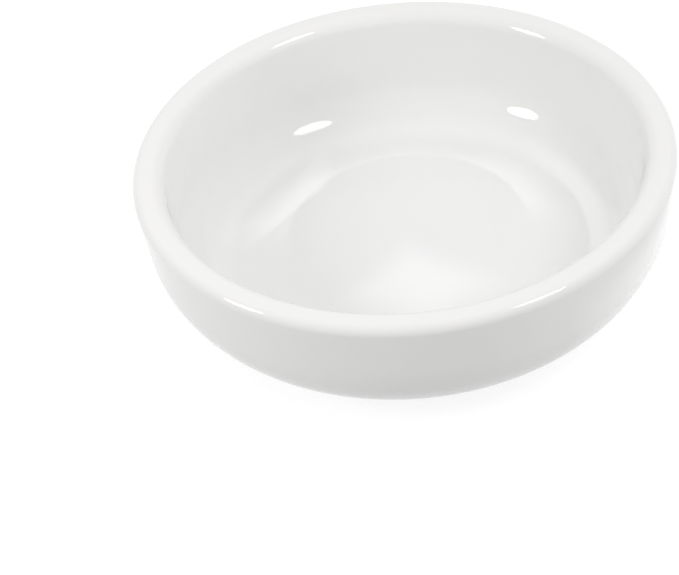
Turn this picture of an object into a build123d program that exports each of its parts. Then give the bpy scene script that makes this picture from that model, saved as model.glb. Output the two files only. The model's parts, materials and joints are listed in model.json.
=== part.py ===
from build123d import *
import os
from math import radians, tan

# Soy sauce dish: a small round bowl of white glazed ceramic that stands on a foot ring.
# It is turned from one half section, drawn with the radius along X and the height along Y.
# Millimetres. The origin is the centre of the foot's resting plane, with +Z up.

# Overall sizes, over the glaze
RIM_DIAMETER = 95.0
HEIGHT = 27.6

# Lean of the clay wall away from upright, in degrees
OUTER_FLARE = 6.6
INNER_FLARE = 6.6

# Rounding of the clay
LIP_OUTER_RADIUS = 1.4
LIP_INNER_RADIUS = 2.25
LIP_FLAT = 1.25
OUTER_CORNER_RADIUS = 16.5
INNER_CORNER_RADIUS = 9.8

# Floor of the bowl, thinnest in the middle, and how steeply its dished top rises to the wall, in degrees
FLOOR_THICKNESS = 2.95
FLOOR_DISH = 3.0

# Foot ring under the floor
FOOT_SETBACK = 2.7
FOOT_WIDTH = 3.2
FOOT_HEIGHT = 2.4
FOOT_ROOT_RADIUS = 1.2
FOOT_EDGE_RADIUS = 0.5

# Glaze, and how far up from the table the foot is left bare
GLAZE_THICKNESS = 0.3
BARE_BAND = 0.9

# Where the floor's two straight runs would meet, as a share of the mouth's radius, and how much of them is curved
FLOOR_BEND_SHARE = 0.35
CURVED_SHARE = 0.98

# Corners closer than this to a line count as lying on it
TOUCH = 0.001

# Sizes of the bare clay
clay_radius = RIM_DIAMETER / 2 - GLAZE_THICKNESS
clay_top = HEIGHT - GLAZE_THICKNESS
well_floor = FOOT_HEIGHT + FLOOR_THICKNESS

# Radii where the wall's two lines, carried on before rounding, meet the lip and the underside
lip_middle = clay_radius - LIP_OUTER_RADIUS
outer_top = lip_middle + LIP_OUTER_RADIUS * tan(radians(90 + OUTER_FLARE) / 2)
inner_top = lip_middle - LIP_FLAT - LIP_INNER_RADIUS * tan(radians(90 - INNER_FLARE) / 2)
outer_bottom = outer_top - (clay_top - FOOT_HEIGHT) * tan(radians(OUTER_FLARE))

# The floor starts level in the middle and bends up, and its slope meets the inner wall's line below the rounding
floor_slope = tan(radians(FLOOR_DISH))
inner_slope = tan(radians(INNER_FLARE))
floor_bend = FLOOR_BEND_SHARE * inner_top
inner_bottom = inner_top - (clay_top - well_floor + floor_bend * floor_slope) * inner_slope
inner_bottom = inner_bottom / (1 - floor_slope * inner_slope)
floor_edge = well_floor + (inner_bottom - floor_bend) * floor_slope
floor_curve_radius = CURVED_SHARE * floor_bend / tan(radians(FLOOR_DISH) / 2)

# The foot ring stands in from where the rounded outer corner has run out into the flat underside
corner_end = outer_bottom - OUTER_CORNER_RADIUS * tan(radians(90 - OUTER_FLARE) / 2)
foot_outer = corner_end - FOOT_SETBACK
foot_inner = foot_outer - FOOT_WIDTH


def bowl_section():
    """Half section of the clay bowl, with a flat underside and no foot yet."""
    corners = [
        ((0, well_floor), 0),
        ((floor_bend, well_floor), floor_curve_radius),
        ((inner_bottom, floor_edge), INNER_CORNER_RADIUS),
        ((inner_top, clay_top), LIP_INNER_RADIUS),
        ((outer_top, clay_top), LIP_OUTER_RADIUS),
        ((outer_bottom, FOOT_HEIGHT), OUTER_CORNER_RADIUS),
        ((0, FOOT_HEIGHT), 0),
    ]
    points = [point for point, radius in corners]
    radii = [radius for point, radius in corners]
    return make_face(FilletPolyline(*points, radius=radii, close=True))


def clay_section():
    """Half section of the whole clay body: the bowl on its foot ring, eased at root and edge."""
    rooted_height = FOOT_HEIGHT + FLOOR_THICKNESS / 2
    foot = Pos(foot_inner, 0) * Rectangle(FOOT_WIDTH, rooted_height, align=(Align.MIN, Align.MIN))
    section = bowl_section() + foot

    def on_foot_side(corner):
        return min(abs(corner.X - foot_outer), abs(corner.X - foot_inner)) < TOUCH

    roots = section.vertices().filter_by(lambda corner: on_foot_side(corner) and corner.Y > TOUCH)
    section = fillet(roots, FOOT_ROOT_RADIUS)
    edges = section.vertices().filter_by(lambda corner: corner.Y < TOUCH)
    return fillet(edges, FOOT_EDGE_RADIUS)


def glaze_sections(clay):
    """Half sections of the glaze inside the foot ring and of the coat over all the rest."""
    glazed_zone = Pos(0, BARE_BAND) * Rectangle(RIM_DIAMETER, HEIGHT, align=(Align.MIN, Align.MIN))
    skin = (offset(clay, GLAZE_THICKNESS) - clay) & glazed_zone
    base, coat = skin.faces().sort_by(SortBy.AREA)
    return base, coat


def write_turned(name, section):
    """Turn a half section about the dish's axis and write it as one named piece."""
    piece = revolve(Plane.XZ * section, Axis.Z)
    piece.label = name
    export_step(piece, f"parts/{name}.step")


os.makedirs("parts", exist_ok=True)
clay = clay_section()
base, coat = glaze_sections(clay)
write_turned("clay_body", clay)
write_turned("glaze_coat", coat)
write_turned("base_glaze", base)
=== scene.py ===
"""Soy sauce dish: a small round bowl of white glazed ceramic on a bare foot ring, in a white studio."""

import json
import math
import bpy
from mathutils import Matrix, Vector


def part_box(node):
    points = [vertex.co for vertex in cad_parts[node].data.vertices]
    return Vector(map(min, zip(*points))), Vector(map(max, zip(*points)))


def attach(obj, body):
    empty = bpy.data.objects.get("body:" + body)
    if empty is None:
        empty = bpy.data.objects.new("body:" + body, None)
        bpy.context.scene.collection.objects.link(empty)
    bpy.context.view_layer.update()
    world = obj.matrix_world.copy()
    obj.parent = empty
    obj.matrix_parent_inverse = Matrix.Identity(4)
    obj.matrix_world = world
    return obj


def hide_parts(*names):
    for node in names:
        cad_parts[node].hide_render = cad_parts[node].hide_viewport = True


bl_info = {
    "name": "Soy Sauce Dish",
    "version": (1, 0, 0),
    "blender": (4, 5, 0),
    "location": "View3D > Sidebar > Dish",
    "description": "Turns a glazed dipping dish around its packed frame and sets it in a white studio",
    "category": "Add Mesh",
}

from typing import NamedTuple

import bpy
from bpy.props import FloatProperty, FloatVectorProperty, IntProperty, PointerProperty
from mathutils import Matrix, Quaternion, Vector

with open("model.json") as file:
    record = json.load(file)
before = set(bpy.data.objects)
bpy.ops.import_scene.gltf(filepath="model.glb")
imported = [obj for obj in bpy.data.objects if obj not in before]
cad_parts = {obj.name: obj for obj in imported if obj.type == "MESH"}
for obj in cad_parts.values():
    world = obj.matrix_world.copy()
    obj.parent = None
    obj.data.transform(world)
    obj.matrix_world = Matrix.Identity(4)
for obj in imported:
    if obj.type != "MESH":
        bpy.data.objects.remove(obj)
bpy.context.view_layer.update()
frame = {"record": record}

BODY = "root"
MM = 0.001

# The frame's own measures: the coat ends at the rim and above the foot, the base glaze fills the foot ring
COAT_LOW, COAT_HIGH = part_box("glaze_coat")
_, CLAY_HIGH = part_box("clay_body")
_, BASE_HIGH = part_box("base_glaze")
RECORD_COLOURS = {finish["slot"]: finish["base_color"][:3] for finish in frame["record"]["materials"]}

# The photograph's width in pixels and the sensor's in millimetres, which give the camera's lens
PHOTO_WIDTH = 679
SENSOR_WIDTH = 36.0
CLIP_START = 10 * MM


def length(name, description, default):
    """A property for a length in metres."""
    return FloatProperty(name=name, description=description, default=default, unit="LENGTH", precision=5)


def angle(name, description, degrees):
    """A property for an angle, given here in degrees."""
    return FloatProperty(name=name, description=description, default=math.radians(degrees), unit="ROTATION")


def colour(name, description, default):
    """A property for a linear colour."""
    return FloatVectorProperty(
        name=name, description=description, default=default, subtype="COLOR", min=0, max=1
    )


def share(name, description, default):
    """A property for a part of one."""
    return FloatProperty(name=name, description=description, default=default, subtype="FACTOR", min=0, max=1)


def power(name, description, default):
    """A property for a lamp's power."""
    return FloatProperty(name=name, description=description, default=default, unit="POWER")


def strength(name, description, default):
    """A property for a strength of light, where 1 is white."""
    return FloatProperty(name=name, description=description, default=default)


class DishShape(bpy.types.PropertyGroup):
    """Sizes of the turned dish."""

    rim_radius: length("Rim Radius", "Widest radius, over the glaze", COAT_HIGH.x)
    height: length("Height", "From the table to the top of the lip", COAT_HIGH.z)
    glaze: length("Glaze", "Thickness of the glaze", COAT_HIGH.z - CLAY_HIGH.z)
    bare_band: length("Bare Band", "Height of bare clay above the table", COAT_LOW.z)
    underside: length("Underside", "Height of the clay underside above the table", BASE_HIGH.z)
    foot_inner: length("Foot Inner Radius", "Inner radius of the clay foot ring", BASE_HIGH.x)
    foot_width: length("Foot Width", "Width of the clay foot ring", 3.2 * MM)
    floor_thickness: length("Floor Thickness", "Clay between underside and well, in the middle", 2.95 * MM)
    floor_dish: angle("Floor Dish", "Slope of the well's floor where it meets the rounding of the wall", 3.0)
    outer_flare: angle("Outer Flare", "Lean of the outer wall away from upright", 6.6)
    inner_flare: angle("Inner Flare", "Lean of the inner wall away from upright", 6.6)
    lip_outer_radius: length("Lip Outer Radius", "Rounding of the clay lip outside", 1.4 * MM)
    lip_inner_radius: length("Lip Inner Radius", "Rounding of the clay lip inside", 2.25 * MM)
    lip_flat: length("Lip Flat", "Level stretch on top of the lip", 1.25 * MM)
    outer_corner: length("Outer Corner", "Rounding of wall into underside", 16.5 * MM)
    inner_corner: length("Inner Corner", "Rounding of wall into floor", 9.8 * MM)
    foot_root: length("Foot Root", "Rounding where the foot meets the underside", 1.2 * MM)
    foot_edge: length("Foot Edge", "Rounding of the foot's resting edges", 0.5 * MM)
    glaze_roll: share("Glaze Roll", "How much thicker the glaze is where it ends", 0.35)
    roll_reach: length("Roll Reach", "How far the thick edge of the glaze reaches", 0.7 * MM)
    edge_wander: length("Edge Wander", "How far the glaze line strays up and down", 0.14 * MM)
    warp: length("Warp", "How far firing has pulled the dish out of true", 0.04 * MM)
    warp_span: length("Warp Span", "Distance between high and low places", 30 * MM)
    segments: IntProperty(name="Segments", description="Faces around the dish", default=288, min=24, max=512)


class DishFinish(bpy.types.PropertyGroup):
    """Colours and surface of the glaze and the bare clay."""

    glaze_colour: colour("Glaze", "White glaze", RECORD_COLOURS["white_glaze"])
    pooled_colour: colour("Pooled Glaze", "Glaze where it lies thick", (0.838, 0.838, 0.838))
    thin_colour: colour("Thin Glaze", "Glaze where it is drawn thin", (0.875, 0.868, 0.856))
    glaze_roughness: share("Glaze Roughness", "Roughness of clean glaze", 0.035)
    smudge: share("Smudge", "Roughness added by faint wiping marks", 0.05)
    ripple: length("Ripple", "Depth of the glaze's faint ripple", 0.004 * MM)
    ripple_span: length("Ripple Span", "Distance between ripples", 6 * MM)
    clay_colour: colour("Clay", "Bare fired clay", RECORD_COLOURS["fired_clay"])
    toast_colour: colour("Toasted Clay", "Clay along the glaze line, and worn clay", (0.62, 0.54, 0.45))
    grain: length("Grain", "Depth of the clay's grain", 0.02 * MM)
    grain_span: length("Grain Span", "Size of the clay's grains", 0.35 * MM)


class DishStudio(bpy.types.PropertyGroup):
    """Camera and light."""

    focal_pixels: FloatProperty(
        name="Focal Length", description="In pixels of the photograph", default=2600, subtype="PIXEL"
    )
    camera_rise: angle("Camera Rise", "Height of the view above the table", 39.7)
    camera_roll: angle("Camera Roll", "Turn of the picture about the view", 6.43)
    camera_distance: length("Camera Distance", "From the camera to the foot's centre", 470.8 * MM)
    camera_left: length("Camera Left", "How far the dish sits right of centre", 13.35 * MM)
    camera_down: length("Camera Down", "How far the foot sits above centre", 2.7 * MM)
    left_power: power("Left Lamp", "Power of the left lamp", 0.47)
    right_power: power("Right Lamp", "Power of the right lamp", 0.30)
    fill_power: power("Fill", "Power of the low fill for each square metre of it", 1.3)
    well_power: power("Well", "Power of the lamp above the well for each square metre of it", 0.36)
    room_light: strength("Room Light", "Mean light from all round", 0.57)
    room_lift: strength("Room Lift", "How much lighter the room is above", 0.29)
    room_depth: strength("Room Depth", "How much lighter the far side is", 0.08)
    room_side: strength("Room Side", "How much lighter the right side is", 0.26)
    floor_bounce: share("Floor Bounce", "Light that the floor gives back", 0.6)
    floor_white: share("Floor White", "Whiteness that the camera sees in full shade", 0.85)
    floor_lit: share("Floor Lit", "Whiteness that light adds to that", 0.25)


# Node building


class Wire:
    """An output socket. Arithmetic on wires and numbers adds Math nodes."""

    def __init__(self, maker, socket):
        self.maker = maker
        self.socket = socket

    def _math(self, operation, first, second=0.0):
        return self.maker.node("ShaderNodeMath", {"operation": operation}, {0: first, 1: second})

    def __add__(self, other):
        return self._math("ADD", self, other)

    def __radd__(self, other):
        return self._math("ADD", other, self)

    def __sub__(self, other):
        return self._math("SUBTRACT", self, other)

    def __rsub__(self, other):
        return self._math("SUBTRACT", other, self)

    def __mul__(self, other):
        return self._math("MULTIPLY", self, other)

    def __rmul__(self, other):
        return self._math("MULTIPLY", other, self)

    def __truediv__(self, other):
        return self._math("DIVIDE", self, other)

    def __rtruediv__(self, other):
        return self._math("DIVIDE", other, self)

    def __abs__(self):
        return self._math("ABSOLUTE", self)

    def max(self, other):
        return self._math("MAXIMUM", self, other)

    def min(self, other):
        return self._math("MINIMUM", self, other)

    def floor(self):
        return self._math("FLOOR", self)

    def sqrt(self):
        return self._math("SQRT", self)

    def cos(self):
        return self._math("COSINE", self)

    def sin(self):
        return self._math("SINE", self)


class NodeMaker:
    """Adds nodes to one tree."""

    def __init__(self, tree):
        self.tree = tree

    def node(self, kind, settings=(), sockets=(), output=0):
        """A node of this kind, with its settings made first, then its sockets set or linked."""
        made = self.tree.nodes.new(kind)
        for name, value in dict(settings).items():
            setattr(made, name, value)
        for key, value in dict(sockets).items():
            if isinstance(value, Wire):
                self.tree.links.new(value.socket, made.inputs[key])
            else:
                made.inputs[key].default_value = value
        return Wire(self, made.outputs[output])

    def split(self, vector):
        """The three parts of a vector."""
        parts = self.node("ShaderNodeSeparateXYZ", sockets={0: vector}).socket.node
        return [Wire(self, socket) for socket in parts.outputs]

    def ease(self, value, low, high):
        """A smooth step from 0 at low to 1 at high."""
        sockets = {"Value": value, "From Min": low, "From Max": high}
        return self.node("ShaderNodeMapRange", {"interpolation_type": "SMOOTHSTEP"}, sockets)

    def noise(self, vector, span, detail=2.0, seed=0.0, output=0):
        """Cloudy noise whose features are about span across."""
        sockets = {"Vector": vector, "W": seed, "Scale": 1 / span, "Detail": detail}
        return self.node("ShaderNodeTexNoise", {"noise_dimensions": "4D"}, sockets, output)

    def mix_colour(self, factor, first, second):
        """A colour between two colours."""
        first, second = [tint if isinstance(tint, Wire) else (*tint, 1.0) for tint in (first, second)]
        # A Mix node's colours are its inputs 6 and 7 and its output 2
        return self.node("ShaderNodeMix", {"data_type": "RGBA"}, {0: factor, 6: first, 7: second}, 2)

    def vector_math(self, operation, first, second):
        """A Vector Math node."""
        return self.node("ShaderNodeVectorMath", {"operation": operation}, {0: first, 1: second})


# Outlines of the half section, as points with the direction in which the surface faces

# Points closer than this are one point
MERGE_DISTANCE = 0.001 * MM
# How far apart an outline's points lie at most, along it and round a corner: fine where it shows, else hidden
FINE_STEP = 2.0 * MM
FINE_TURN = math.radians(4)
HIDDEN_STEP = 5.0 * MM
HIDDEN_TURN = math.radians(9)
# Points round the glaze's rolled edge
ROLL_POINTS = 6
# Where the floor's two straight runs would meet, as a share of the mouth's radius, and how much is curved
FLOOR_BEND_SHARE = 0.35
CURVED_SHARE = 0.98


def run_between(start, end, step):
    """Even points along a straight stretch, without its end, and none where there is next to no stretch."""
    stretch = (end - start).length
    count = math.ceil(stretch / step) if stretch > MERGE_DISTANCE else 0
    return [start.lerp(end, i / count) for i in range(count)]


def rounded_outline(corners, step, turn_step):
    """Points and facings along a line whose corners are rounded, facing to its left."""
    outline = []
    start = Vector(corners[0][0])
    for (before, _), (corner, radius), (after, _) in zip(corners, corners[1:], corners[2:]):
        corner = Vector(corner)
        inward = (corner - Vector(before)).normalized()
        onward = (Vector(after) - corner).normalized()
        turn = math.atan2(inward.x * onward.y - inward.y * onward.x, inward.dot(onward))
        reach = radius * math.tan(abs(turn) / 2)
        facing = Vector((-inward.y, inward.x))
        arc_start = corner - inward * reach
        outline += [(point, facing) for point in run_between(start, arc_start, step)]
        side = math.copysign(1, turn)
        centre = arc_start + facing * radius * side
        count = math.ceil(max(abs(turn) / turn_step, abs(turn) * radius / step))
        for i in range(count):
            spun = Matrix.Rotation(turn * i / count, 2) @ facing
            outline.append((centre - spun * radius * side, spun))
        start = corner + onward * reach
    end = Vector(corners[-1][0])
    facing = Vector((-onward.y, onward.x))
    outline += [(point, facing) for point in run_between(start, end, step)]
    outline.append((end, facing))
    return outline


def clay_corners(shape):
    """Corners of the clay's half section and their radii, from the well's middle round to the base's."""
    clay_radius = shape.rim_radius - shape.glaze
    clay_top = shape.height - shape.glaze
    well_floor = shape.underside + shape.floor_thickness
    lip_middle = clay_radius - shape.lip_outer_radius
    quarter = math.pi / 2
    outer_top = lip_middle + shape.lip_outer_radius * math.tan((quarter + shape.outer_flare) / 2)
    inner_top = lip_middle - shape.lip_flat
    inner_top -= shape.lip_inner_radius * math.tan((quarter - shape.inner_flare) / 2)
    outer_bottom = outer_top - (clay_top - shape.underside) * math.tan(shape.outer_flare)
    floor_slope = math.tan(shape.floor_dish)
    wall_slope = math.tan(shape.inner_flare)
    floor_bend = FLOOR_BEND_SHARE * inner_top
    inner_bottom = inner_top - (clay_top - well_floor + floor_bend * floor_slope) * wall_slope
    inner_bottom /= 1 - floor_slope * wall_slope
    floor_edge = well_floor + (inner_bottom - floor_bend) * floor_slope
    floor_curve = 0
    if shape.floor_dish > 0:
        floor_curve = CURVED_SHARE * floor_bend / math.tan(shape.floor_dish / 2)
    foot_outer = shape.foot_inner + shape.foot_width
    return {
        "well": ((0, well_floor), 0),
        "floor_bend": ((floor_bend, well_floor), floor_curve),
        "inner_corner": ((inner_bottom, floor_edge), shape.inner_corner),
        "inner_lip": ((inner_top, clay_top), shape.lip_inner_radius),
        "outer_lip": ((outer_top, clay_top), shape.lip_outer_radius),
        "outer_corner": ((outer_bottom, shape.underside), shape.outer_corner),
        "outer_root": ((foot_outer, shape.underside), shape.foot_root),
        "outer_glaze_line": ((foot_outer, shape.bare_band + shape.glaze), 0),
        "outer_edge": ((foot_outer, 0), shape.foot_edge),
        "inner_edge": ((shape.foot_inner, 0), shape.foot_edge),
        "inner_glaze_line": ((shape.foot_inner, shape.bare_band + shape.glaze), 0),
        "inner_root": ((shape.foot_inner, shape.underside), shape.foot_root),
        "base": ((0, shape.underside), 0),
    }


def glaze_skin(shape, corners, line_at_end):
    """Half section of a coat of glaze over these corners, with a rolled edge where it ends on the foot."""
    clay = rounded_outline(corners, HIDDEN_STEP, HIDDEN_TURN)
    face = rounded_outline(corners, FINE_STEP, FINE_TURN)
    if not line_at_end:
        face.reverse()
        clay.reverse()
    line_point, line_facing = face[-1]
    last_step = face[-2][0] - line_point
    if last_step.length > shape.roll_reach / 2:
        face.insert(-1, (line_point + last_step.normalized() * shape.roll_reach / 2, line_facing))
    # The glaze thickens by a smooth step towards the line, then turns in to the clay by a quarter round
    outer = []
    for point, facing in face:
        closeness = max(0.0, 1 - (point - line_point).length / shape.roll_reach)
        roll = 1 + shape.glaze_roll * closeness * closeness * (3 - 2 * closeness)
        outer.append(point + facing * shape.glaze * roll)
    down = Vector((0, -shape.glaze))
    out = outer[-1] - line_point
    for i in range(1, ROLL_POINTS):
        swing = math.pi / 2 * i / ROLL_POINTS
        outer.append(line_point + out * math.cos(swing) + down * math.sin(swing))
    outer.append(line_point + down)
    section = outer + [point for point, _ in reversed(clay)]
    return section if line_at_end else section[::-1]


# The wheel: a node tree that turns a half section about the dish's axis

WHEEL_INPUTS = (
    ("Segments", "NodeSocketInt"),
    ("Warp", "NodeSocketFloat"),
    ("Warp Span", "NodeSocketFloat"),
    ("Edge Height", "NodeSocketFloat"),
    ("Edge Wander", "NodeSocketFloat"),
    ("Seed", "NodeSocketFloat"),
    ("Material", "NodeSocketMaterial"),
)
WHEEL_NAME = "Potter's Wheel"
WHEEL_SEED = 3.0
# Up to the first height the dish stays true, and from the second it is as far out of true as it gets
STEADY_HEIGHT = 1.5 * MM
LOOSE_HEIGHT = 9.0 * MM
# How far from the glaze line its straying is felt, and how long its swings are
WANDER_REACH = 0.9 * MM
WANDER_SPAN = 9.0 * MM
# Edges that bend more than this stay crisp
SHARP_ANGLE = math.radians(40)
# Noise runs from 0 to 1 about this, so twice its distance from it runs from -1 to 1
NOISE_MEAN = 0.5


def wheel_tree():
    """The tree that turns a line of points, with radius along X and height along Z, into a closed skin."""
    tree = bpy.data.node_groups.new(WHEEL_NAME, "GeometryNodeTree")
    tree.interface.new_socket("Section", in_out="INPUT", socket_type="NodeSocketGeometry")
    for name, kind in WHEEL_INPUTS:
        tree.interface.new_socket(name, in_out="INPUT", socket_type=kind)
    tree.interface.new_socket("Dish", in_out="OUTPUT", socket_type="NodeSocketGeometry")
    maker = NodeMaker(tree)
    inputs = tree.nodes.new("NodeGroupInput")
    given = {socket.name: Wire(maker, socket) for socket in inputs.outputs if socket.name}

    # A sheet of points, one column for each step of the wheel and one row for each point of the section
    rows = maker.node("GeometryNodeAttributeDomainSize", {"component": "MESH"}, {0: given["Section"]})
    sockets = {"Vertices X": given["Segments"] + 1, "Vertices Y": rows}
    sheet = maker.node("GeometryNodeMeshGrid", sockets=sockets)
    index = maker.node("GeometryNodeInputIndex")
    column = (index / rows).floor()
    row = index - column * rows
    section_point = maker.node(
        "GeometryNodeSampleIndex",
        {"data_type": "FLOAT_VECTOR", "domain": "POINT"},
        {"Geometry": given["Section"], "Value": maker.node("GeometryNodeInputPosition"), "Index": row},
    )
    radius, _, height = maker.split(section_point)
    turn = column / given["Segments"] * -math.tau
    sockets = {"X": radius * turn.cos(), "Y": radius * turn.sin(), "Z": height}
    turned = maker.node("ShaderNodeCombineXYZ", sockets=sockets)

    # Firing pulls the upper part slightly out of true, and the glaze line strays a little
    span = given["Warp Span"].max(MM)
    sway = maker.noise(turned, span, detail=0.0, seed=given["Seed"], output="Color")
    sway = maker.vector_math("SUBTRACT", sway, (NOISE_MEAN, NOISE_MEAN, NOISE_MEAN))
    looseness = maker.ease(height, STEADY_HEIGHT, LOOSE_HEIGHT) * given["Warp"] * 2
    sway = maker.node("ShaderNodeVectorMath", {"operation": "SCALE"}, {0: sway, "Scale": looseness})
    stray = maker.noise(turned, WANDER_SPAN, detail=1.0, seed=given["Seed"]) - NOISE_MEAN
    nearness = 1 - maker.ease(abs(height - given["Edge Height"]), 0.0, WANDER_REACH)
    stray = maker.node("ShaderNodeCombineXYZ", sockets={"Z": stray * nearness * given["Edge Wander"] * 2})
    placed = maker.vector_math("ADD", maker.vector_math("ADD", turned, sway), stray)

    skin = maker.node("GeometryNodeSetPosition", sockets={"Geometry": sheet, "Position": placed})
    sockets = {"Geometry": skin, "Distance": MERGE_DISTANCE}
    skin = maker.node("GeometryNodeMergeByDistance", sockets=sockets)
    skin = maker.node("GeometryNodeSetShadeSmooth", {"domain": "FACE"}, {0: skin, "Shade Smooth": True})
    bend = maker.node("GeometryNodeInputMeshEdgeAngle")
    sharp = maker.node("FunctionNodeCompare", {"operation": "GREATER_THAN"}, {0: bend, 1: SHARP_ANGLE})
    sockets = {0: skin, "Selection": sharp, "Shade Smooth": False}
    skin = maker.node("GeometryNodeSetShadeSmooth", {"domain": "EDGE"}, sockets)
    skin = maker.node("GeometryNodeRealizeInstances", sockets={0: skin})
    skin = maker.node("GeometryNodeSetMaterial", sockets={0: skin, "Material": given["Material"]})
    tree.links.new(skin.socket, tree.nodes.new("NodeGroupOutput").inputs[0])
    return tree


def turn_on_wheel(name, section, shape, material, edge_wander):
    """A finished piece: the half section turned about the dish's axis, as a plain mesh at the origin."""
    line = bpy.data.meshes.new(name + "_section")
    steps = [(i, i + 1) for i in range(len(section) - 1)]
    line.from_pydata([(point.x, 0, point.y) for point in section], steps, [])
    holder = bpy.data.objects.new(name + "_section", line)
    bpy.context.scene.collection.objects.link(holder)
    tree = bpy.data.node_groups.get(WHEEL_NAME) or wheel_tree()
    wheel = holder.modifiers.new("Wheel", "NODES")
    wheel.node_group = tree
    values = {
        "Segments": shape.segments,
        "Warp": shape.warp,
        "Warp Span": shape.warp_span,
        "Edge Height": shape.bare_band,
        "Edge Wander": edge_wander,
        "Seed": WHEEL_SEED,
        "Material": material,
    }
    for item in tree.interface.items_tree:
        if item.in_out == "INPUT" and item.name in values:
            wheel[item.identifier] = values[item.name]
    graph = bpy.context.evaluated_depsgraph_get()
    mesh = bpy.data.meshes.new_from_object(holder.evaluated_get(graph))
    holder.modifiers.remove(wheel)
    bpy.data.objects.remove(holder)
    mesh.name = name
    if not mesh.polygons:
        raise RuntimeError(f"the wheel gave no faces for {name}")
    piece = bpy.data.objects.new(name, mesh)
    bpy.context.scene.collection.objects.link(piece)
    return piece


def fit_to_frame(piece, node):
    """Puts a finished piece in place of its node."""
    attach(piece, BODY)
    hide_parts(node)


# Materials

GLAZE_IOR = 1.52
# Size of the clouds in the glaze
CLOUD_SPAN = 14.0 * MM
# Share of the dish's height below which the glaze pools, and the least that it does so between clouds
POOL_TOP = 0.5
POOL_LEAST = 0.35
# Depths below the top of the lip between which it thins, and the least that it does so between clouds
THIN_DEPTHS = (2.4 * MM, 0.2 * MM)
THIN_LEAST = 0.4
# Size of the wiping marks, and the levels of noise between which they come up
SMEAR_SPAN = 32.0 * MM
SMEAR_LEVELS = (0.45, 0.75)

# Sizes of the clay's blotches and specks, and the levels of noise between which specks come up
BLOTCH_SPAN = 5.0 * MM
SPECK_SPAN = 0.6 * MM
SPECK_LEVELS = (0.68, 0.74)
# Share of the bare band's height above which it is toasted
TOAST_START = 0.45
# Height of the worn edge, and the levels of the blotches between which its wear comes up
WEAR_HEIGHT = 0.12 * MM
WEAR_LEVELS = (0.45, 0.65)
# How far each of these takes the clay to its toasted colour, and how far they do so together
TOAST_SHARE = 0.5
WEAR_SHARE = 0.35
SPECK_SHARE = 0.5
BLOTCH_SHARE = 0.15
GRAIN_SHARE = 0.1
DARK_SHARE = 0.9
# Roughness of the clay, and the share of its wear that comes off it
CLAY_ROUGHNESS = 0.9
WEAR_POLISH = 0.5


def new_material(name):
    """A material with an empty tree, and its maker."""
    material = bpy.data.materials.new(name)
    material.use_nodes = True
    material.node_tree.nodes.clear()
    return material, NodeMaker(material.node_tree)


def show(maker, shader, kind="ShaderNodeOutputMaterial"):
    """Ends a tree with its output node."""
    maker.tree.links.new(shader.socket, maker.tree.nodes.new(kind).inputs["Surface"])


def glossy_white_glaze(shape, finish):
    """Opaque white glaze, thin on the lip and thick low down, with faint ripples and wiping marks."""
    material, maker = new_material("glossy_white_glaze")
    place = maker.node("ShaderNodeTexCoord", output="Object")
    _, _, height = maker.split(place)
    clouds = maker.noise(place, CLOUD_SPAN, detail=3.0)
    low = 1 - maker.ease(height, shape.underside, shape.height * POOL_TOP)
    thick = low * (POOL_LEAST + (1 - POOL_LEAST) * clouds)
    high = maker.ease(height, *[shape.height - depth for depth in THIN_DEPTHS])
    thin = high * (THIN_LEAST + (1 - THIN_LEAST) * clouds)
    tint = maker.mix_colour(thick, finish.glaze_colour, finish.pooled_colour)
    tint = maker.mix_colour(thin, tint, finish.thin_colour)
    smear = maker.ease(maker.noise(place, SMEAR_SPAN, detail=4.0, seed=1.0), *SMEAR_LEVELS)
    ripple = maker.noise(place, finish.ripple_span, detail=1.0, seed=2.0)
    relief = {"Height": ripple, "Distance": finish.ripple, "Strength": 1.0}
    sockets = {
        "Base Color": tint,
        "Roughness": finish.glaze_roughness + finish.smudge * smear,
        "IOR": GLAZE_IOR,
        "Normal": maker.node("ShaderNodeBump", sockets=relief),
    }
    show(maker, maker.node("ShaderNodeBsdfPrincipled", sockets=sockets))
    return material


def bare_fired_clay(shape, finish):
    """Dry fired clay, toasted along the glaze line and worn where it rests on the table."""
    material, maker = new_material("bare_fired_clay")
    place = maker.node("ShaderNodeTexCoord", output="Object")
    _, _, height = maker.split(place)
    blotch = maker.noise(place, BLOTCH_SPAN, detail=3.0)
    grains = maker.noise(place, finish.grain_span, detail=2.0, seed=1.0)
    specks = maker.ease(maker.noise(place, SPECK_SPAN, detail=0.0, seed=2.0), *SPECK_LEVELS)
    toast = maker.ease(height, shape.bare_band * TOAST_START, shape.bare_band) * TOAST_SHARE
    wear = (1 - maker.ease(height, 0.0, WEAR_HEIGHT)) * maker.ease(blotch, *WEAR_LEVELS) * WEAR_SHARE
    dark = toast + wear + specks * SPECK_SHARE + blotch * BLOTCH_SHARE + grains * GRAIN_SHARE
    tint = maker.mix_colour(dark * DARK_SHARE, finish.clay_colour, finish.toast_colour)
    relief = {"Height": grains, "Distance": finish.grain, "Strength": 1.0}
    sockets = {
        "Base Color": tint,
        "Roughness": CLAY_ROUGHNESS - wear * WEAR_POLISH,
        "Normal": maker.node("ShaderNodeBump", sockets=relief),
    }
    show(maker, maker.node("ShaderNodeBsdfPrincipled", sockets=sockets))
    return material


def shared_material(make, shape, finish):
    """The material that this function makes, made once."""
    return bpy.data.materials.get(make.__name__) or make(shape, finish)


# Operators, one for each piece


def coat_with_glaze(context, ends, line_at_end, name, node):
    """A coat of glaze over the clay's corners between these ends, in place of its node."""
    shape = context.scene.dish_shape
    corners = clay_corners(shape)
    first, last = [list(corners).index(end) for end in ends]
    run = list(corners.values())[first : last + 1]
    glaze = shared_material(glossy_white_glaze, shape, context.scene.dish_finish)
    section = glaze_skin(shape, run, line_at_end)
    piece = turn_on_wheel(name, section, shape, glaze, shape.edge_wander)
    fit_to_frame(piece, node)


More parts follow.
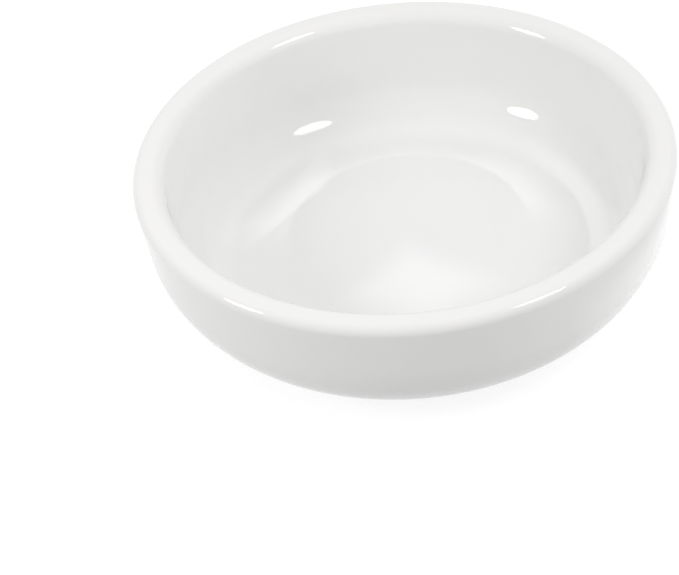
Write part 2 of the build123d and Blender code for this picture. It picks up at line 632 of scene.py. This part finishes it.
class DISH_OT_clay_body(bpy.types.Operator):
    """Turn the clay body with its foot ring"""

    bl_idname = "dish.clay_body"
    bl_label = "Turn Clay Body"

    def execute(self, context):
        shape = context.scene.dish_shape
        corners = list(clay_corners(shape).values())
        section = [point for point, _ in rounded_outline(corners, FINE_STEP, FINE_TURN)]
        clay = shared_material(bare_fired_clay, shape, context.scene.dish_finish)
        piece = turn_on_wheel("fired_clay_body", section, shape, clay, edge_wander=0.0)
        fit_to_frame(piece, "clay_body")
        return {"FINISHED"}


class DISH_OT_glaze_coat(bpy.types.Operator):
    """Coat the clay with glaze from the foot, over the lip and down to the middle of the well"""

    bl_idname = "dish.glaze_coat"
    bl_label = "Coat With Glaze"

    def execute(self, context):
        ends = ("well", "outer_glaze_line")
        coat_with_glaze(context, ends, line_at_end=True, name="white_glaze_coat", node="glaze_coat")
        return {"FINISHED"}


class DISH_OT_base_glaze(bpy.types.Operator):
    """Coat the base inside the foot ring with glaze"""

    bl_idname = "dish.base_glaze"
    bl_label = "Glaze the Base"

    def execute(self, context):
        ends = ("inner_glaze_line", "base")
        coat_with_glaze(context, ends, line_at_end=False, name="white_base_glaze", node="base_glaze")
        return {"FINISHED"}


# The stage: floor, lamps, room and camera

# Side of the floor, then where the soft lamps stand and how large they are, all in metres
FLOOR_SIZE = 4.0
LEFT_LAMP = (Vector((-0.347, -0.116, 0.223)), (0.108, 0.150))
RIGHT_LAMP = (Vector((0.239, -0.161, 0.361)), (0.118, 0.160))
# The fill is a level strip of light from behind on the right, in metres. It fades out upwards between these
# shares of its height, so as to pass under the lip
FILL_PLACE = Vector((0.390, 0.225, 0.0135))
FILL_SIZE = (0.250, 0.027)
FILL_FADE = (0.66, 1.0)
FILL_SPREAD = math.radians(1.0)
# Narrow lamps have this much more power and less strength, so that the renderer tries them often enough
NARROW_CHANCE = 30.0


class Ring(NamedTuple):
    """A ring of light on the well, crisp inside and soft outside, in millimetres."""

    middle: tuple
    radius: float
    # How far the light reaches outwards at the back and at the sides
    back_reach: float
    side_reach: float
    # What share of that reach keeps the full light
    full: float
    back_light: float
    left_light: float
    right_light: float
    # How far sideways it begins to take on its side's width and light and has them, as shares of the way out
    sides: tuple
    # How far back it comes up from nothing and is all there, as shares of the way out
    front: tuple


FLOOR_RINGS = (
    Ring(
        middle=(0.0, 5.2),
        radius=21.8,
        back_reach=1.8,
        side_reach=7.0,
        full=0.0,
        back_light=0.50,
        left_light=0.60,
        right_light=0.80,
        sides=(0.45, 0.90),
        front=(-0.25, 0.35),
    ),
    Ring(
        middle=(0.0, 0.0),
        radius=32.0,
        back_reach=5.5,
        side_reach=4.8,
        full=0.5,
        back_light=0.20,
        left_light=0.15,
        right_light=0.90,
        sides=(0.60, 1.00),
        front=(-0.50, -0.20),
    ),
)
# Half the width of a ring's crisp inner edge, in millimetres
RING_EDGE = 0.4
# Between which places it changes from its left light to its right light, as shares of the way out
RING_TURNOVER = (-0.5, 0.5)


class Patch(NamedTuple):
    """A patch of light on the well's floor, in millimetres and degrees."""

    middle: tuple
    size: tuple
    turn: float
    light: float
    # How much of its length and of its width the light takes to come up and to go down
    along: tuple
    across: tuple


FLOOR_PATCHES = (
    Patch(
        middle=(-22.4, 17.3),
        size=(35.0, 8.5),
        turn=47.8,
        light=0.95,
        along=(0.40, 0.55),
        across=(0.12, 0.86),
    ),
    Patch(
        middle=(0.6, -13.4),
        size=(28.0, 27.0),
        turn=-42.0,
        light=0.90,
        along=(0.30, 0.50),
        across=(0.50, 0.32),
    ),
)
# The lamp straight above the well that lays them there, in millimetres
WELL_LAMP_HEIGHT = 60.0
WELL_LAMP_SIDE = 76.0
WELL_LAMP_SPREAD = math.radians(0.8)
# Places across a lamp or a patch run from 0 to 1, with this in the middle
MIDDLE = 0.5

WHITE = (1.0, 1.0, 1.0, 1.0)


def seen_rays(maker):
    """1 where the camera looks, straight or by a reflection or through glass, else 0."""
    path = maker.node("ShaderNodeLightPath").socket.node
    names = ("Is Camera Ray", "Is Glossy Ray", "Is Transmission Ray")
    camera, glossy, transmission = [Wire(maker, path.outputs[name]) for name in names]
    return camera.max(glossy).max(transmission)


def lay_floor(studio):
    """A pale floor that the camera sees as white, with the dish's shadow on it."""
    half = FLOOR_SIZE / 2
    mesh = bpy.data.meshes.new("studio_floor")
    corners = [(-half, -half, 0), (half, -half, 0), (half, half, 0), (-half, half, 0)]
    mesh.from_pydata(corners, [], [(0, 1, 2, 3)])
    floor = bpy.data.objects.new("studio_floor", mesh)
    bpy.context.scene.collection.objects.link(floor)
    material, maker = new_material("studio_floor")
    bounce = studio.floor_bounce
    plain = maker.node("ShaderNodeBsdfDiffuse", sockets={"Color": (bounce, bounce, bounce, 1)})
    lit = studio.floor_lit
    shaded = maker.node("ShaderNodeBsdfDiffuse", sockets={"Color": (lit, lit, lit, 1)})
    glow = maker.node("ShaderNodeEmission", sockets={"Strength": studio.floor_white})
    white = maker.node("ShaderNodeAddShader", sockets={0: shaded, 1: glow})
    show(maker, maker.node("ShaderNodeMixShader", sockets={0: seen_rays(maker), 1: plain, 2: white}))
    mesh.materials.append(material)


def hang_lamp(name, where, size, watts, aim, mirrored, outline="ELLIPSE"):
    """A flat lamp, which the glaze mirrors or not."""
    lamp = bpy.data.lights.new(name, "AREA")
    lamp.shape = outline
    lamp.size, lamp.size_y = size
    lamp.energy = watts
    lamp_object = bpy.data.objects.new(name, lamp)
    lamp_object.location = where
    lamp_object.rotation_euler = aim.to_euler()
    lamp_object.visible_camera = False
    lamp_object.visible_glossy = mirrored
    bpy.context.scene.collection.objects.link(lamp_object)
    return lamp


def hang_narrow_lamp(name, where, size, aim, spread, area_power):
    """A lamp whose light hardly spreads: its tree's maker, and the places across and up it from 0 to 1."""
    watts = area_power * size[0] * size[1] * NARROW_CHANCE
    lamp = hang_lamp(name, where, size, watts, aim, mirrored=False, outline="RECTANGLE")
    lamp.spread = spread
    lamp.use_nodes = True
    lamp.node_tree.nodes.clear()
    maker = NodeMaker(lamp.node_tree)
    across, upward, _ = maker.split(maker.node("ShaderNodeNewGeometry", output="Parametric"))
    return maker, across, upward


def shape_light(maker, level):
    """Gives a narrow lamp its light, as a share of full light."""
    glow = maker.node("ShaderNodeEmission", sockets={"Strength": level / NARROW_CHANCE})
    show(maker, glow, "ShaderNodeOutputLight")


def ring_light(maker, ring, x, y):
    """How much of a ring's light falls at x, y."""
    x = x - ring.middle[0]
    y = y - ring.middle[1]
    out = (x * x + y * y).sqrt()
    sideways = maker.ease(abs(x) / out, *ring.sides)
    reach = ring.back_reach + (ring.side_reach - ring.back_reach) * sideways
    rise = maker.ease(out, ring.radius - RING_EDGE, ring.radius + RING_EDGE)
    fall = 1 - maker.ease((out - ring.radius) / reach, ring.full, 1.0)
    rightness = maker.ease(x / out, *RING_TURNOVER)
    side_light = ring.left_light + (ring.right_light - ring.left_light) * rightness
    light = ring.back_light + (side_light - ring.back_light) * sideways
    return rise.min(fall) * light * maker.ease(y / out, *ring.front)


def patch_light(maker, patch, x, y):
    """How much of a patch's light falls at x, y."""
    x = x - patch.middle[0]
    y = y - patch.middle[1]
    turn = math.radians(patch.turn)
    along = x * math.cos(turn) + y * math.sin(turn)
    across = y * math.cos(turn) - x * math.sin(turn)
    levels = []
    for place, size, (rise, fall) in zip((along, across), patch.size, (patch.along, patch.across)):
        place = place / size + MIDDLE
        levels.append(maker.ease(place, 0.0, rise).min(1 - maker.ease(place, 1 - fall, 1.0)))
    return levels[0].min(levels[1]) * patch.light


def hang_lamps(studio):
    """Two soft lamps that make the highlights, a low fill from behind, and the light laid on the well."""
    soft = (
        ("left_lamp", LEFT_LAMP, studio.left_power),
        ("right_lamp", RIGHT_LAMP, studio.right_power),
    )
    for name, (where, size), watts in soft:
        hang_lamp(name, where, size, watts, (-where).to_track_quat("-Z", "Y"), mirrored=True)

    level = Vector((-FILL_PLACE.x, -FILL_PLACE.y, 0)).to_track_quat("-Z", "Y")
    made = hang_narrow_lamp("fill_lamp", FILL_PLACE, FILL_SIZE, level, FILL_SPREAD, studio.fill_power)
    maker, _, upward = made
    shape_light(maker, 1 - maker.ease(upward, *FILL_FADE))

    where = Vector((0, 0, WELL_LAMP_HEIGHT)) * MM
    size = (WELL_LAMP_SIDE * MM, WELL_LAMP_SIDE * MM)
    made = hang_narrow_lamp("well_lamp", where, size, Quaternion(), WELL_LAMP_SPREAD, studio.well_power)
    maker, across, upward = made
    x, y = [(place - MIDDLE) * WELL_LAMP_SIDE for place in (across, upward)]
    levels = [ring_light(maker, ring, x, y) for ring in FLOOR_RINGS]
    levels += [patch_light(maker, patch, x, y) for patch in FLOOR_PATCHES]
    shape_light(maker, sum(levels))


def light_room(studio):
    """A white room, lighter above, on the right and on the far side."""
    world = bpy.data.worlds.new("studio_room")
    bpy.context.scene.world = world
    world.use_nodes = True
    world.node_tree.nodes.clear()
    maker = NodeMaker(world.node_tree)
    side, depth, lift = maker.split(maker.node("ShaderNodeTexCoord", output="Generated"))
    tilt = side * studio.room_side + depth * studio.room_depth + lift * studio.room_lift
    level = (studio.room_light + tilt).max(0.0)
    lit = maker.node("ShaderNodeBackground", sockets={"Color": WHITE, "Strength": level})
    white = maker.node("ShaderNodeBackground", sockets={"Color": WHITE, "Strength": 1.0})
    room = maker.node("ShaderNodeMixShader", sockets={0: seen_rays(maker), 1: lit, 2: white})
    show(maker, room, "ShaderNodeOutputWorld")


def place_camera(studio):
    """A camera at the photograph's angle, turned about its view as the photograph is."""
    rise = studio.camera_rise
    view = Vector((0, math.cos(rise), -math.sin(rise)))
    level = Vector((1, 0, 0))
    upward = level.cross(view)
    roll = studio.camera_roll
    right = level * math.cos(roll) - upward * math.sin(roll)
    up = level * math.sin(roll) + upward * math.cos(roll)
    where = -view * studio.camera_distance - right * studio.camera_left - up * studio.camera_down
    data = bpy.data.cameras.new("photo_camera")
    data.sensor_width = SENSOR_WIDTH
    data.lens = studio.focal_pixels / PHOTO_WIDTH * SENSOR_WIDTH
    data.clip_start = CLIP_START
    camera = bpy.data.objects.new("photo_camera", data)
    camera.matrix_world = Matrix.Translation(where) @ Matrix((right, up, -view)).transposed().to_4x4()
    bpy.context.scene.collection.objects.link(camera)
    bpy.context.scene.camera = camera


class DISH_OT_stage(bpy.types.Operator):
    """Set up the floor, the light and the camera"""

    bl_idname = "dish.stage"
    bl_label = "Set Stage"

    def execute(self, context):
        studio = context.scene.dish_studio
        lay_floor(studio)
        hang_lamps(studio)
        light_room(studio)
        place_camera(studio)
        context.scene.view_settings.view_transform = "Standard"
        return {"FINISHED"}


class DISH_PT_panel(bpy.types.Panel):
    """Sizes, finish and studio of the dish"""

    bl_idname = "DISH_PT_panel"
    bl_label = "Soy Sauce Dish"
    bl_space_type = "VIEW_3D"
    bl_region_type = "UI"
    bl_category = "Dish"

    def draw(self, context):
        for group in (context.scene.dish_shape, context.scene.dish_finish, context.scene.dish_studio):
            box = self.layout.box()
            for name in group.bl_rna.properties.keys():
                if name not in ("rna_type", "name"):
                    box.prop(group, name)
        for operator in OPERATORS:
            self.layout.operator(operator.bl_idname)


GROUPS = {"dish_shape": DishShape, "dish_finish": DishFinish, "dish_studio": DishStudio}
OPERATORS = (DISH_OT_clay_body, DISH_OT_glaze_coat, DISH_OT_base_glaze, DISH_OT_stage)
CLASSES = (*GROUPS.values(), *OPERATORS, DISH_PT_panel)


def register():
    """Adds the classes, and gives a scene their settings."""
    for cls in CLASSES:
        bpy.utils.register_class(cls)
    for name, group in GROUPS.items():
        setattr(bpy.types.Scene, name, PointerProperty(type=group))


def unregister():
    """Takes the settings and the classes away again."""
    for name in GROUPS:
        delattr(bpy.types.Scene, name)
    for cls in reversed(CLASSES):
        bpy.utils.unregister_class(cls)


def main():
    """Makes the dish and its stage."""
    register()
    bpy.ops.dish.clay_body()
    bpy.ops.dish.glaze_coat()
    bpy.ops.dish.base_glaze()
    bpy.ops.dish.stage()


if __name__ == "__main__":
    main()
